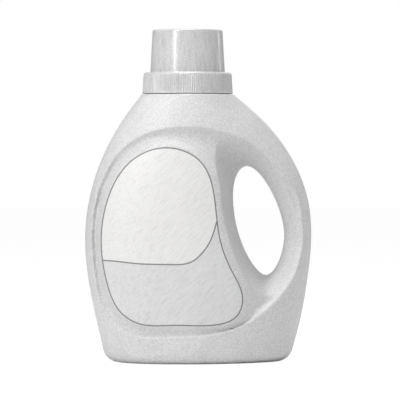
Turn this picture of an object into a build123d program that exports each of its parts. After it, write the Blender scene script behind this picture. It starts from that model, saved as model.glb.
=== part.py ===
from build123d import *
import os

# Laundry detergent bottle: a blow-moulded jug with a side handle, a drain-back
# pour spout pressed into its neck, a screw-on measuring cap with its sealing ring,
# and a label on each face.
#
# Millimetres. +Z is up, the front face looks along -Y and the handle is on +X.
# The origin is under the middle of the body, on the plane that it stands on.

os.makedirs("parts", exist_ok=True)

# ---- driving dimensions -------------------------------------------------------

body_width = 191.2          # over the widest part, along X
body_depth = 112.0          # over the two label faces, along Y
shoulder_height = 225.6     # base plane to the flat land around the neck
wall = 1.6                  # blown wall of the body
base_radius = 9.0           # round between the sides and the base
push_up = 3.5               # how far the middle of the base stands off the floor
foot_width = 13.0           # width of the ring that the bottle stands on

neck_offset = -9.0          # neck axis, from the middle of the body along X
neck_diameter = 66.0        # root of the neck's thread
neck_wall = 3.0
neck_bead = 1.3             # bead round the foot of the neck, its height off the neck
bead_height = 2.5           # the bead's middle, above the shoulder

grip_width = 24.0           # handle, across the palm
finger_width = 42.0         # opening behind the grip, across
finger_length = 91.0        # opening behind the grip, top to bottom
finger_centre = 118.8       # height of the middle of that opening
throat = 9.0                # half of the straight run through the opening
pocket_flank = 11.0         # slope between the label pad and the opening

groove_depth = 3.4          # channel round the label pad
pad_drop = 0.7              # label pad, below the surface around it
label_thickness = 0.15
label_gap = 0.02            # adhesive between each label and its pad

cap_height = 54.0           # over the whole measuring cap
skirt_height = 18.0         # ribbed skirt of the cap
thread_room = 2.45          # between the neck and the skirt's bore, for the thread
skirt_draft = 1.0           # how much smaller the skirt's radius is at its top
cup_step = 1.5              # how much smaller the cup's foot is than the neck, in radius
cup_draft = 2.0             # how much smaller the cup's radius is at its top
cap_wall = 1.8
cup_round = 1.6             # round on the cup's closed end
skirt_round = 2.5           # round on the skirt's upper edge
skirt_gap = 0.4             # skirt above the shoulder
land_margin = 0.3           # flat land of the shoulder outside the skirt

seal_thickness = 1.0
seal_width = 3.0
flange_thickness = 1.4      # spout flange on the neck's rim
plug_depth = 15.0           # spout plug inside the neck
plug_clearance = 0.1
spout_wall = 1.6
spout_diameter = 34.0
spout_rise = 23.0           # pouring lip above the flange
spout_slant = 11.0          # how much lower the back of the spout is
drain_slot = 8.0            # slot down the back of the spout
drain_fall = 4.0            # fall of the gutter floor towards the spout

# ---- places that follow -------------------------------------------------------

half_depth = body_depth / 2
cap_base = shoulder_height + skirt_gap
cap_shoulder = cap_base + skirt_height
cap_top = cap_base + cap_height
seal_top = cap_shoulder - cap_wall
flange_top = seal_top - seal_thickness
neck_rim = flange_top - flange_thickness
neck_radius = neck_diameter / 2
bore_radius = neck_radius - neck_wall
neck_axis = Axis((neck_offset, 0, 0), (0, 0, 1))
neck_section = Plane((neck_offset, 0, 0), x_dir=(1, 0, 0), z_dir=(0, -1, 0))
skirt_bore = neck_radius + thread_room
skirt_radius = skirt_bore + cap_wall + skirt_draft
land_radius = skirt_radius + land_margin
cup_radius = neck_radius - cup_step
plug_outer = bore_radius - plug_clearance
plug_inner = plug_outer - spout_wall
plug_foot = flange_top - plug_depth
spout_outer = spout_diameter / 2
spout_inner = spout_outer - spout_wall
spout_lip = flange_top + spout_rise

hole_right = body_width / 2 - grip_width
hole_left = hole_right - finger_width
pocket_rim = hole_left - pocket_flank
face_clearance = 10.0
face_depth = half_depth + face_clearance

# ---- body form ----------------------------------------------------------------

# Height, left edge, right edge and depth of each section, as shares of
# shoulder_height, half of body_width and half of body_depth.
body_stations = [
    (0.00, -0.815, 0.800, 0.915),
    (0.13, -0.888, 0.888, 0.965),
    (0.29, -0.965, 0.960, 0.992),
    (0.47, -1.000, 1.000, 1.000),
    (0.63, -0.951, 0.956, 0.988),
    (0.77, -0.840, 0.813, 0.935),
    (0.88, -0.702, 0.621, 0.845),
    (0.95, -0.590, 0.450, 0.760),
]
body_full_left = 0.64       # how square the sections are towards the left side
body_full_right = 0.46      # and towards the handle, where they run out thin
circle_share = 0.5523       # the same share for a true circle


def section(level, left, right, depth, full_left, full_right):
    """One closed outline of the body: four cubic arcs, from the handle's edge round."""
    middle = neck_offset
    far_right = middle + full_right * (right - middle)
    far_left = middle + full_left * (left - middle)
    near_right = full_right * depth
    near_left = full_left * depth
    with BuildSketch(Plane.XY.offset(level)) as outline:
        with BuildLine():
            Bezier((right, 0), (right, near_right), (far_right, depth), (middle, depth))
            Bezier((middle, depth), (far_left, depth), (left, near_left), (left, 0))
            Bezier((left, 0), (left, -near_left), (far_left, -depth), (middle, -depth))
            Bezier((middle, -depth), (far_right, -depth), (right, -near_right), (right, 0))
        make_face()
    return outline.sketch


def body_form(inset):
    """Solid of the body without its reliefs, drawn in from the outside by inset."""
    outlines = [
        section(
            max(height * shoulder_height, inset),
            left * body_width / 2 + inset,
            right * body_width / 2 - inset,
            depth * half_depth - inset,
            body_full_left,
            body_full_right,
        )
        for height, left, right, depth in body_stations
    ]
    top = land_radius - inset
    outlines.append(
        section(
            shoulder_height - inset,
            neck_offset - top,
            neck_offset + top,
            top,
            circle_share,
            circle_share,
        )
    )
    with BuildPart() as form:
        loft(outlines)
        fillet(form.edges().group_by(Axis.Z)[0], radius=base_radius - inset)
    return form.part


# ---- reliefs of the two faces ---------------------------------------------------

# Outlines on a face, in shares: across from the body's left edge to the rim of the
# handle pocket, and up from the base to the shoulder.
panel_points = [
    (0.715, 0.876), (0.332, 0.816), (0.137, 0.678), (0.061, 0.510), (0.080, 0.332),
    (0.192, 0.168), (0.340, 0.114), (0.662, 0.102), (0.980, 0.116), (1.253, 0.170),
    (1.491, 0.294), (1.590, 0.480), (1.540, 0.643), (1.369, 0.733), (1.150, 0.818),
    (0.950, 0.866),
]
pad_points = [
    (0.627, 0.836), (0.303, 0.762), (0.145, 0.627), (0.097, 0.465), (0.137, 0.296),
    (0.250, 0.176), (0.399, 0.134), (0.662, 0.126), (0.977, 0.128), (1.187, 0.158),
    (1.232, 0.246), (1.150, 0.345), (1.056, 0.465), (1.013, 0.598), (0.926, 0.757),
]
label_points = [
    (0.599, 0.802), (0.332, 0.746), (0.180, 0.621), (0.124, 0.465), (0.163, 0.306),
    (0.277, 0.187), (0.399, 0.151), (0.662, 0.145), (0.942, 0.145), (1.120, 0.178),
    (1.165, 0.238), (1.088, 0.345), (0.999, 0.465), (0.967, 0.585), (0.858, 0.750),
]
# The opening behind the grip, as the poles of four cubic arcs that start at its top
# and run clockwise. Each pole is across from the left edge and up from the middle, in
# shares of the opening's size, and then how far the pocket flares from it towards the
# face, in millimetres across and up for each millimetre of depth.
opening_poles = [
    (0.29, 0.50, -0.25, 0.62), (0.55, 0.50, 0.10, 0.62), (1.00, 0.12, 1.80, 0.35),
    (1.00, -0.14, 1.80, 0.00), (1.00, -0.27, 1.80, -0.20), (0.86, -0.50, 0.70, -0.80),
    (0.65, -0.50, 0.15, -0.80), (0.46, -0.50, 0.00, -0.80), (0.00, -0.18, -0.23, -0.15),
    (0.00, 0.23, -0.27, 0.15), (0.00, 0.38, -0.30, 0.45), (0.12, 0.50, -0.60, 0.62),
]


def face_prism(points, grow, near, far):
    """Prism of a face outline, from one distance off the middle plane to another."""
    left = -body_width / 2
    span = pocket_rim - left
    places = []
    for across, up in points:
        x = left + across * span + (2 * across - 1) * grow
        z = up * shoulder_height + (2 * up - 1) * grow
        places.append((x, z))
    with BuildPart() as prism:
        with BuildSketch(Plane.XZ.offset(far)):
            with BuildLine():
                Spline(*places, periodic=True)
            make_face()
        extrude(amount=near - far)
    return prism.part


def relief_form(inset):
    """The body with its grooved label panels, drawn in by inset."""
    with BuildPart() as pad:
        add(face_prism(pad_points, -inset, -face_depth, face_depth))
        add(body_form(inset + pad_drop), mode=Mode.INTERSECT)
    with BuildPart() as channel:
        add(face_prism(panel_points, inset, -face_depth, face_depth))
        add(body_form(inset + groove_depth), mode=Mode.SUBTRACT)
        add(pad.part, mode=Mode.SUBTRACT)
    with BuildPart() as form:
        add(body_form(inset))
        add(channel.part, mode=Mode.SUBTRACT)
    return form.part


def opening_outline(depth, flare_run, grow):
    """The opening's outline at one depth, flared by the run from the throat."""
    poles = []
    for across, up, run_out, run_up in opening_poles:
        x = hole_left - grow + across * (finger_width + 2 * grow) + run_out * flare_run
        z = finger_centre + up * (finger_length + 2 * grow) + run_up * flare_run
        poles.append((x, z))
    poles.append(poles[0])
    with BuildSketch(Plane.XZ.offset(depth)) as outline:
        with BuildLine():
            for first in range(0, len(opening_poles), 3):
                Bezier(*poles[first:first + 4])
        make_face()
    return outline.sketch


def handle_opening(grow):
    """Tool for the finger opening: straight at the throat, flared to both faces."""
    with BuildPart() as flare:
        loft(
            [
                opening_outline(throat - grow, 0, grow),
                opening_outline(face_depth - grow, face_depth - throat, grow),
            ],
            ruled=True,
        )
    with BuildPart() as tool:
        extrude(opening_outline(0, 0, grow), amount=throat - grow, both=True)
        add(flare.part)
        mirror(flare.part, about=Plane.XZ)
    return tool.part


def base_hollow(grow):
    """Tool for the hollow in the base, inside the ring that the bottle stands on."""
    _, left, right, depth = body_stations[0]
    outlines = []
    for level, inset in ((0, foot_width), (push_up + grow, foot_width + push_up)):
        inset = inset - grow
        outlines.append(
            section(
                level,
                left * body_width / 2 + inset,
                right * body_width / 2 - inset,
                depth * half_depth - inset,
                body_full_left,
                body_full_right,
            )
        )
    with BuildPart() as tool:
        loft(outlines, ruled=True)
    return tool.part


# ---- bottle: body, handle and neck blown as one piece -----------------------------

with BuildPart() as cavity:
    add(relief_form(wall))
    add(handle_opening(wall), mode=Mode.SUBTRACT)
    add(base_hollow(wall), mode=Mode.SUBTRACT)

with BuildPart() as bottle:
    add(relief_form(0))
    add(handle_opening(0), mode=Mode.SUBTRACT)
    add(base_hollow(0), mode=Mode.SUBTRACT)
    add(cavity.part, mode=Mode.SUBTRACT)
    with BuildSketch(Plane.XY.offset(shoulder_height - wall)):
        with Locations((neck_offset, 0)):
            Circle(neck_radius)
    extrude(amount=neck_rim - shoulder_height + wall)
    with BuildSketch(neck_section):
        with Locations((neck_radius, shoulder_height + bead_height)):
            Circle(neck_bead)
    revolve(axis=neck_axis)
    with BuildSketch(Plane.XY.offset(shoulder_height - 2 * wall)):
        with Locations((neck_offset, 0)):
            Circle(bore_radius)
    extrude(amount=neck_rim - shoulder_height + 3 * wall, mode=Mode.SUBTRACT)

bottle.part.label = "bottle"
export_step(bottle.part, "parts/bottle.step")

# ---- labels -----------------------------------------------------------------------


def label_film(near, far):
    """Film on one face's pad, between two distances off the middle plane."""
    with BuildPart() as film:
        add(face_prism(label_points, 0, near, far))
        add(body_form(pad_drop - label_gap - label_thickness), mode=Mode.INTERSECT)
        add(body_form(pad_drop - label_gap), mode=Mode.SUBTRACT)
    return film.part


with BuildPart() as front_label:
    add(label_film(0, face_depth))

front_label.part.label = "front_label"
export_step(front_label.part, "parts/front_label.step")

with BuildPart() as back_label:
    add(label_film(-face_depth, 0))

back_label.part.label = "back_label"
export_step(back_label.part, "parts/back_label.step")

# ---- pour spout: plug, flange, gutter and slotted spout moulded as one piece ------

with BuildPart() as pour_spout:
    with BuildSketch(neck_section):
        with BuildLine():
            Polyline(
                (plug_inner, flange_top),
                (neck_radius, flange_top),
                (neck_radius, neck_rim),
                (plug_outer, neck_rim),
                (plug_outer, plug_foot),
                (spout_inner, plug_foot - drain_fall),
                (spout_inner, spout_lip),
                (spout_outer, spout_lip),
                (spout_outer, plug_foot - drain_fall + spout_wall),
                (plug_inner, plug_foot + spout_wall),
                close=True,
            )
        make_face()
    revolve(axis=neck_axis)
    with BuildSketch(neck_section):
        with BuildLine():
            Polyline(
                (-neck_radius, spout_lip + spout_slant * (neck_radius - spout_outer) / spout_diameter),
                (neck_radius, spout_lip + spout_slant),
                (neck_radius, spout_lip - spout_slant * (neck_radius + spout_outer) / spout_diameter),
                close=True,
            )
        make_face()
    extrude(amount=neck_radius, both=True, mode=Mode.SUBTRACT)
    with BuildSketch(Plane.XY.offset(plug_foot - drain_fall + spout_wall)):
        with Locations((neck_offset + spout_outer, 0)):
            Rectangle(2 * (spout_outer - spout_inner) + drain_slot, drain_slot)
    extrude(amount=spout_lip - plug_foot + drain_fall, mode=Mode.SUBTRACT)

pour_spout.part.label = "pour_spout"
export_step(pour_spout.part, "parts/pour_spout.step")

# ---- cap: measuring cup and screw skirt moulded as one piece, with its seal -------

with BuildPart() as dosing_cap:
    with BuildSketch(neck_section):
        with BuildLine():
            Polyline(
                (0, cap_top),
                (cup_radius - cup_draft, cap_top),
                (cup_radius, cap_shoulder),
                (skirt_radius - skirt_draft, cap_shoulder),
                (skirt_radius, cap_base),
                (skirt_bore, cap_base),
                (skirt_bore, seal_top),
                (cup_radius - cap_wall, seal_top),
                (cup_radius - cup_draft - cap_wall, cap_top - cap_wall),
                (0, cap_top - cap_wall),
                close=True,
            )
        make_face()
    revolve(axis=neck_axis)
    fillet(dosing_cap.edges().group_by(Axis.Z)[-1], radius=cup_round)
    shoulder_edges = dosing_cap.edges().filter_by_position(Axis.Z, cap_shoulder - 0.1, cap_shoulder + 0.1)
    fillet(shoulder_edges.sort_by(SortBy.RADIUS)[-1], radius=skirt_round)

dosing_cap.part.label = "dosing_cap"
export_step(dosing_cap.part, "parts/dosing_cap.step")

with BuildPart() as cap_seal:
    with BuildSketch(Plane.XY.offset(flange_top)):
        with Locations((neck_offset, 0)):
            Circle(neck_radius)
            Circle(neck_radius - seal_width, mode=Mode.SUBTRACT)
    extrude(amount=seal_thickness)

cap_seal.part.label = "cap_seal"
export_step(cap_seal.part, "parts/cap_seal.step")
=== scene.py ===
"""Laundry detergent bottle: the finished look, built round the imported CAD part.

The row frame is used throughout. Shapes are worked out in millimetres and are made
into meshes in metres. +Z is up, the front faces -Y and the handle is on +X.
"""
import logging
import math
from collections.abc import Callable
from dataclasses import dataclass, field
from enum import Enum

import bpy
import numpy as np
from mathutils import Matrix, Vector


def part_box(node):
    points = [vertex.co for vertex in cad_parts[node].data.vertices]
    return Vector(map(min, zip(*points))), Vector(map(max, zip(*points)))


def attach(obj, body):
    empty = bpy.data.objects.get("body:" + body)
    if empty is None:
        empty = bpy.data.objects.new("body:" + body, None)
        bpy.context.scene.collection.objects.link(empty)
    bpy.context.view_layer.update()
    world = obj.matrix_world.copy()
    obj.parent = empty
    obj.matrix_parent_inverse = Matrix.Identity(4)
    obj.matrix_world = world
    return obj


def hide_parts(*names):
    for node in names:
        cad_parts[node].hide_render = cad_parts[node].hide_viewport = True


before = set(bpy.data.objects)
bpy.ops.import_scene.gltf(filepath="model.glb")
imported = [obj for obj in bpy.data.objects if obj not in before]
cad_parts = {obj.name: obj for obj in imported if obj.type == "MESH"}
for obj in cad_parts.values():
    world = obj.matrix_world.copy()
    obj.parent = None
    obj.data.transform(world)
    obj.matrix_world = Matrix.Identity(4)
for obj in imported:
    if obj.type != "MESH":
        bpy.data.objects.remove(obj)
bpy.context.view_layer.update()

Array = np.ndarray
Field = Callable[[Array], Array]
Colour = tuple[float, float, float]
Pair = tuple[float, float]
Solid = tuple[Array, list]
Shift = Callable[[Array, Array, Array], tuple[Array, Array]]
Object = bpy.types.Object
Socket = bpy.types.NodeSocket
MM = 0.001
ON_AXIS = 1e-9
CAP_GAP = 0.4
log = logging.getLogger("scene")


# ---- curves and fields ----------------------------------------------------------


def ramp(value: Array, start: float, end: float) -> Array:
    """Smooth step: 0 at start, 1 at end, which may be the lower of the two."""
    share = np.clip((value - start) / (end - start), 0.0, 1.0)
    return share * share * (3.0 - 2.0 * share)


def slopes_through(knots: Array, values: Array, closed: bool) -> Array:
    """Slopes of the smoothest cubic curve through a row of values.

    Args:
        knots: Place of each value along the curve; closed curves have one more, the return.
        values: One row per knot.
        closed: Whether the curve runs back into its start.

    Returns:
        The slope at each value.
    """
    count = len(values)
    step = np.diff(knots)
    matrix = np.zeros((count, count))
    target = np.zeros_like(values, dtype=float)
    for i in range(count):
        if not closed and i in (0, count - 1):
            near = 1 if i == 0 else count - 2
            matrix[i, i], matrix[i, near] = 2.0, 1.0
            target[i] = 3.0 * (values[near] - values[i]) / (knots[near] - knots[i])
            continue
        before, after = step[i - 1], step[i]
        following = (i + 1) % count
        matrix[i, i - 1] += after
        matrix[i, i] += 2.0 * (before + after)
        matrix[i, following] += before
        target[i] = 3.0 * (
            after / before * (values[i] - values[i - 1])
            + before / after * (values[following] - values[i])
        )
    return np.linalg.solve(matrix, target)


def hermite(share: Array, length: Array, first: Array, last: Array, leave: Array, arrive: Array) -> Array:
    """Points of cubic spans.

    Args:
        share: Place along each span, from 0 to 1.
        length: Length of each span in its own parameter.
        first: Value at the span's start.
        last: Value at its end.
        leave: Slope at its start.
        arrive: Slope at its end.

    Returns:
        The interpolated values.
    """
    square, cube = share**2, share**3
    return (
        (2 * cube - 3 * square + 1) * first
        + (3 * square - 2 * cube) * last
        + (cube - 2 * square + share) * length * leave
        + (cube - square) * length * arrive
    )


class HeightCurve:
    """A size of the body that changes smoothly with height."""

    def __init__(self, heights: Array, values: Array) -> None:
        """Fits the curve.

        Args:
            heights: Heights of the stations, rising.
            values: The size at each station.
        """
        self.heights = heights
        self.values = values
        self.slopes = slopes_through(heights, values, closed=False)

    def __call__(self, height: Array) -> Array:
        """Evaluates the curve.

        Args:
            height: Heights, held to the range of the stations.

        Returns:
            The size at each height.
        """
        height = np.clip(height, self.heights[0], self.heights[-1])
        span = np.clip(np.searchsorted(self.heights, height) - 1, 0, len(self.heights) - 2)
        length = self.heights[span + 1] - self.heights[span]
        share = (height - self.heights[span]) / length
        return hermite(
            share, length, self.values[span], self.values[span + 1], self.slopes[span], self.slopes[span + 1]
        )


def closed_curve(points: list[Pair], per_span: int = 12) -> Array:
    """Smooth closed line through points.

    Args:
        points: The points that it passes through.
        per_span: Line pieces from one point to the next.

    Returns:
        The line's points, without a repeated end.
    """
    given = np.array(points, float)
    steps = np.linalg.norm(np.roll(given, -1, axis=0) - given, axis=1)
    knots = np.concatenate([[0.0], np.cumsum(steps)])
    slopes = slopes_through(knots, given, closed=True)
    share = (np.arange(per_span) / per_span)[:, None]
    spans = []
    for i in range(len(given)):
        j = (i + 1) % len(given)
        spans.append(hermite(share, steps[i], given[i], given[j], slopes[i], slopes[j]))
    return np.concatenate(spans)


def bezier_loop(poles: Array, per_arc: int = 20) -> Array:
    """Closed line of cubic arcs.

    Args:
        poles: Three poles for each arc, the next arc's first pole closing it.
        per_arc: Line pieces to an arc.

    Returns:
        The line's points, without a repeated end.
    """
    share = (np.arange(per_arc) / per_arc)[:, None]
    rest = 1.0 - share
    arcs = []
    for i in range(0, len(poles), 3):
        a, b, c, d = (poles[(i + k) % len(poles)] for k in range(4))
        arcs.append(rest**3 * a + 3 * rest**2 * share * b + 3 * rest * share**2 * c + share**3 * d)
    return np.concatenate(arcs)


class FaceField:
    """Signed distance to an outline on the face, negative inside, held on a grid.

    Several outlines make layers, and the field then changes smoothly from one layer to
    the next.
    """

    def __init__(self, outlines: list[Array], low: Pair, high: Pair, step: float) -> None:
        """Measures the field.

        Args:
            outlines: One closed line of (x, z) points for each layer.
            low: Lowest x and z of the grid.
            high: Highest x and z.
            step: Grid spacing.
        """
        self.low = np.array(low, float)
        self.step = step
        xs = np.arange(low[0], high[0] + step, step)
        zs = np.arange(low[1], high[1] + step, step)
        x, z = np.meshgrid(xs, zs, indexing="ij")
        self.layers = np.stack([self._measure(outline, x, z) for outline in outlines])

    @staticmethod
    def _measure(outline: Array, x: Array, z: Array) -> Array:
        """Signed distance of every grid point to one outline.

        Args:
            outline: Closed line.
            x: Grid of x.
            z: Grid of z.

        Returns:
            The distances, negative inside.
        """
        nearest = np.full(x.shape, np.inf)
        inside = np.zeros(x.shape, bool)
        for (ax, az), (bx, bz) in zip(outline, np.roll(outline, -1, axis=0)):
            run, rise = bx - ax, bz - az
            along = np.clip(((x - ax) * run + (z - az) * rise) / (run * run + rise * rise + 1e-12), 0.0, 1.0)
            away = (x - ax - along * run) ** 2 + (z - az - along * rise) ** 2
            nearest = np.minimum(nearest, away)
            if rise:
                crosses = (az > z) != (bz > z)
                inside ^= crosses & (x < ax + (z - az) * run / rise)
        return np.where(inside, -1.0, 1.0) * np.sqrt(nearest)

    def at(self, x: Array, z: Array, layer: Array | float = 0.0) -> Array:
        """Reads the field.

        Args:
            x: Places across the face.
            z: Heights.
            layer: Layer number, with a fraction between layers.

        Returns:
            The signed distances.
        """
        count, wide, high = self.layers.shape
        i = np.clip((x - self.low[0]) / self.step, 0.0, wide - 1.001)
        k = np.clip((z - self.low[1]) / self.step, 0.0, high - 1.001)
        i0, k0 = i.astype(int), k.astype(int)
        fi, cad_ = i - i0, k - k0
        place = np.clip(np.broadcast_to(layer, x.shape), 0.0, count - 1)
        l0 = np.minimum(place.astype(int), max(count - 2, 0))
        l1 = np.minimum(l0 + 1, count - 1)
        fl = place - l0
        result = np.zeros(x.shape)
        for layer_index, layer_share in ((l0, 1.0 - fl), (l1, fl)):
            flat = (
                self.layers[layer_index, i0, k0] * (1 - fi) * (1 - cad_)
                + self.layers[layer_index, i0 + 1, k0] * fi * (1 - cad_)
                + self.layers[layer_index, i0, k0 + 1] * (1 - fi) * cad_
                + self.layers[layer_index, i0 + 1, k0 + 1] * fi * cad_
            )
            result += layer_share * flat
            if count == 1:
                break
        return result


def gradient(shape: Field, points: Array, reach: float = 0.3) -> Array:
    """Slope of a field in space.

    Args:
        shape: The field.
        points: Where to measure it.
        reach: Half the distance that each difference spans.

    Returns:
        One vector for each point.
    """
    columns = []
    for axis in range(3):
        move = np.zeros(3)
        move[axis] = reach
        columns.append((shape(points + move) - shape(points - move)) / (2.0 * reach))
    return np.stack(columns, axis=1)


def as_distance(shape: Field, points: Array) -> Array:
    """A field scaled so that it grows by one for each millimetre away from its zero level."""
    steepness = np.linalg.norm(gradient(shape, points), axis=1)
    return shape(points) / np.maximum(steepness, 1e-6)


def round_edge(first: Array, second: Array, radius: float) -> Array:
    """What lies inside both of two fields, with a round of this radius where they meet."""
    a, b = first + radius, second + radius
    return np.minimum(np.maximum(a, b), 0.0) + np.hypot(np.maximum(a, 0.0), np.maximum(b, 0.0)) - radius


def soft_max(first: Array, second: Array, blend: float) -> Array:
    """Larger of two fields, run together over a band of the given width."""
    near = np.maximum(blend - np.abs(first - second), 0.0) / blend
    return np.maximum(first, second) + near**2 * blend / 4.0


def surface_net(shape: Field, low: Array, high: Array, step: float) -> tuple[Array, Array]:
    """Closed mesh of a field's zero level.

    Args:
        shape: The field, negative inside.
        low: Lowest corner of the space to search.
        high: Highest corner.
        step: Grid spacing.

    Returns:
        Vertices and four-sided faces, turned outwards.
    """
    axes = [a + step * np.arange(math.ceil((b - a) / step) + 1) for a, b in zip(low, high)]
    grid = np.stack(np.meshgrid(*axes, indexing="ij"), axis=-1)
    value = np.concatenate([shape(block.reshape(-1, 3)) for block in np.array_split(grid, 8)])
    value = value.reshape(grid.shape[:3])
    inside = value < 0.0
    cells = tuple(n - 1 for n in inside.shape)
    found, spots, rings = [], [], []
    for axis in range(3):
        size = inside.shape[axis]
        here = np.take(inside, range(size - 1), axis)
        there = np.take(inside, range(1, size), axis)
        edge = np.argwhere(here != there)
        start = tuple(edge.T)
        end = edge.copy()
        end[:, axis] += 1
        share = value[start] / (value[start] - value[tuple(end.T)])
        spot = grid[start].copy()
        spot[:, axis] += share * step
        ring = []
        for first, second in ((0, 0), (1, 0), (1, 1), (0, 1)):
            cell = edge.copy()
            cell[:, (axis + 1) % 3] -= first
            cell[:, (axis + 2) % 3] -= second
            ring.append(np.ravel_multi_index(tuple(cell.T), cells))
            spots.append(spot)
        found.extend(ring)
        ring = np.stack(ring, axis=1)
        outward = inside[start]
        ring[~outward] = ring[~outward][:, ::-1]
        rings.append(ring)
    used, slot = np.unique(np.concatenate(found), return_inverse=True)
    total = np.zeros((len(used), 3))
    np.add.at(total, slot, np.concatenate(spots))
    vertices = total / np.bincount(slot)[:, None]
    faces = np.searchsorted(used, np.concatenate(rings))
    for _ in range(3):
        slope = gradient(shape, vertices)
        push = shape(vertices) / np.maximum((slope**2).sum(axis=1), 0.2)
        vertices = vertices - np.clip(push, -0.5 * step, 0.5 * step)[:, None] * slope
    return vertices, faces


# ---- meshes -----------------------------------------------------------------------


def mesh_object(name: str, vertices: Array, faces: Array | list, sharp: float = 40.0) -> Object:
    """Makes a smooth-shaded mesh object from shapes in millimetres.

    Args:
        name: Name of the object and its mesh.
        vertices: Points in millimetres.
        faces: Vertex numbers of each face.
        sharp: Faces that meet at more than this angle, in degrees, keep a crisp edge.

    Returns:
        The linked object.
    """
    mesh = bpy.data.meshes.new(name)
    rows = faces.tolist() if isinstance(faces, np.ndarray) else faces
    mesh.from_pydata((np.asarray(vertices) * MM).tolist(), [], rows)
    mesh.validate()
    thing = bpy.data.objects.new(name, mesh)
    bpy.context.scene.collection.objects.link(thing)
    smooth(thing, sharp)
    return thing


def smooth(thing: Object, sharp: float) -> None:
    """Shades an object smooth, with crisp edges where it turns sharply.

    Args:
        thing: The mesh object.
        sharp: Angle in degrees from which an edge is crisp.
    """
    mesh = thing.data
    mesh.polygons.foreach_set("use_smooth", [True] * len(mesh.polygons))
    mesh.set_sharp_from_angle(angle=math.radians(sharp))
    mesh.update()


def combine(thing: Object, tool: Object, operation: str) -> None:
    """Joins or cuts a closed mesh with another, which is used up.

    Args:
        thing: The object that is changed.
        tool: The other object.
        operation: UNION or DIFFERENCE.
    """
    change = thing.modifiers.new("combine", "BOOLEAN")
    change.operation = operation
    change.solver = "MANIFOLD"
    change.object = tool
    bpy.context.view_layer.update()
    ready = thing.evaluated_get(bpy.context.evaluated_depsgraph_get())
    result = bpy.data.meshes.new_from_object(ready)
    result.name = thing.name
    thing.modifiers.clear()
    old, thing.data = thing.data, result
    bpy.data.meshes.remove(old)
    bpy.data.meshes.remove(tool.data)


def band_faces(row: int, below: int, columns: int) -> Array:
    """Four-sided faces between two closed rows of points, each given by its number."""
    column = np.arange(columns)
    following = (column + 1) % columns
    here, under = row * columns, below * columns
    return np.stack([here + column, under + column, under + following, here + following], axis=1)


def turned(profile: Array, columns: int, x: float, shift: Shift | None = None) -> Solid:
    """Solid turned round an upright axis.

    Args:
        profile: Rows of radius and height. It runs clockwise as seen with the axis on the
            left, and is either a closed loop or starts and ends on the axis.
        columns: Faces round the axis.
        x: Place of the axis.
        shift: Gives new radius and height from radius, height and angle.

    Returns:
        Vertices and faces.
    """
    angle = np.arange(columns) * 2.0 * math.pi / columns
    on_axis = profile[0, 0] < ON_AXIS
    rows = profile[1:-1] if on_axis else profile
    radius = np.repeat(rows[:, :1], columns, axis=1)
    height = np.repeat(rows[:, 1:], columns, axis=1)
    if shift:
        radius, height = shift(radius, height, angle[None, :])
    ring = np.stack([x + radius * np.cos(angle), radius * np.sin(angle), height], axis=-1).reshape(-1, 3)
    count = len(rows)
    faces = []
    for row in range(count - 1 if on_axis else count):
        faces.extend(band_faces(row, (row + 1) % count, columns).tolist())
    if not on_axis:
        return ring, faces
    ends = np.array([[x, 0.0, profile[0, 1]], [x, 0.0, profile[-1, 1]]])
    first, last = len(ring), len(ring) + 1
    bottom = (count - 1) * columns
    pairs = [(column, (column + 1) % columns) for column in range(columns)]
    faces.extend([[first, here, following] for here, following in pairs])
    faces.extend([[last, bottom + following, bottom + here] for here, following in pairs])
    return np.concatenate([ring, ends]), faces


def outline_of(corners: list[tuple[float, float, float]], step: float, closed: bool) -> Array:
    """Profile line with rounded corners and even spacing.

    Args:
        corners: Radius, height and corner round of each corner.
        step: Longest straight piece.
        closed: Whether the last corner runs back to the first.

    Returns:
        Rows of radius and height.
    """
    count = len(corners)
    places = np.array([c[:2] for c in corners], float)
    path: list[Array] = []
    for i, (_, _, corner_round) in enumerate(corners):
        here = places[i]
        if corner_round <= 0.0 or (not closed and i in (0, count - 1)):
            path.append(here)
            continue
        back = places[i - 1] - here
        ahead = places[(i + 1) % count] - here
        back, ahead = back / np.linalg.norm(back), ahead / np.linalg.norm(ahead)
        half = math.acos(float(np.clip(back @ ahead, -1.0, 1.0))) / 2.0
        cut = corner_round / math.tan(half)
        middle = here + (back + ahead) / np.linalg.norm(back + ahead) * corner_round / math.sin(half)
        start, end = here + back * cut - middle, here + ahead * cut - middle
        sweep = math.pi - 2.0 * half
        pieces = max(3, math.ceil(sweep / math.radians(15.0)))
        for k in range(pieces + 1):
            turn = k / pieces * sweep
            path.append(middle + (start * math.sin(sweep - turn) + end * math.sin(turn)) / math.sin(sweep))
    if closed:
        path.append(path[0])
    rows = [path[0]]
    for here in path[1:]:
        pieces = max(1, math.ceil(float(np.linalg.norm(here - rows[-1])) / step - 1e-9))
        origin = rows[-1]
        rows.extend(origin + (here - origin) * k / pieces for k in range(1, pieces + 1))
    return np.array(rows[:-1] if closed else rows)


def set_values(thing: Object, name: str, values: Array) -> None:
    """Stores a number on each vertex, under a name that the material reads."""
    attribute = thing.data.attributes.new(name, "FLOAT", "POINT")
    attribute.data.foreach_set("value", np.asarray(values, np.float32))


# ---- finishes ---------------------------------------------------------------------


SLANT = -48.0


class Grain(Enum):
    """Direction of a finish's fine marks."""

    UPRIGHT = "upright"
    SLANTED = "slanted"


def new_group(name: str, inputs: dict[str, float], outputs: dict[str, str]) -> bpy.types.ShaderNodeTree:
    """Starts a shader node group.

    Args:
        name: Name of the group.
        inputs: Number inputs and their defaults.
        outputs: Outputs and their socket types.

    Returns:
        The group, with its input node named in and its output node named out.
    """
    group = bpy.data.node_groups.new(name, "ShaderNodeTree")
    for label, default in inputs.items():
        socket = group.interface.new_socket(label, in_out="INPUT", socket_type="NodeSocketFloat")
        socket.default_value = default
    for label, kind in outputs.items():
        group.interface.new_socket(label, in_out="OUTPUT", socket_type=kind)
    group.nodes.new("NodeGroupInput").name = "in"
    group.nodes.new("NodeGroupOutput").name = "out"
    return group


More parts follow.
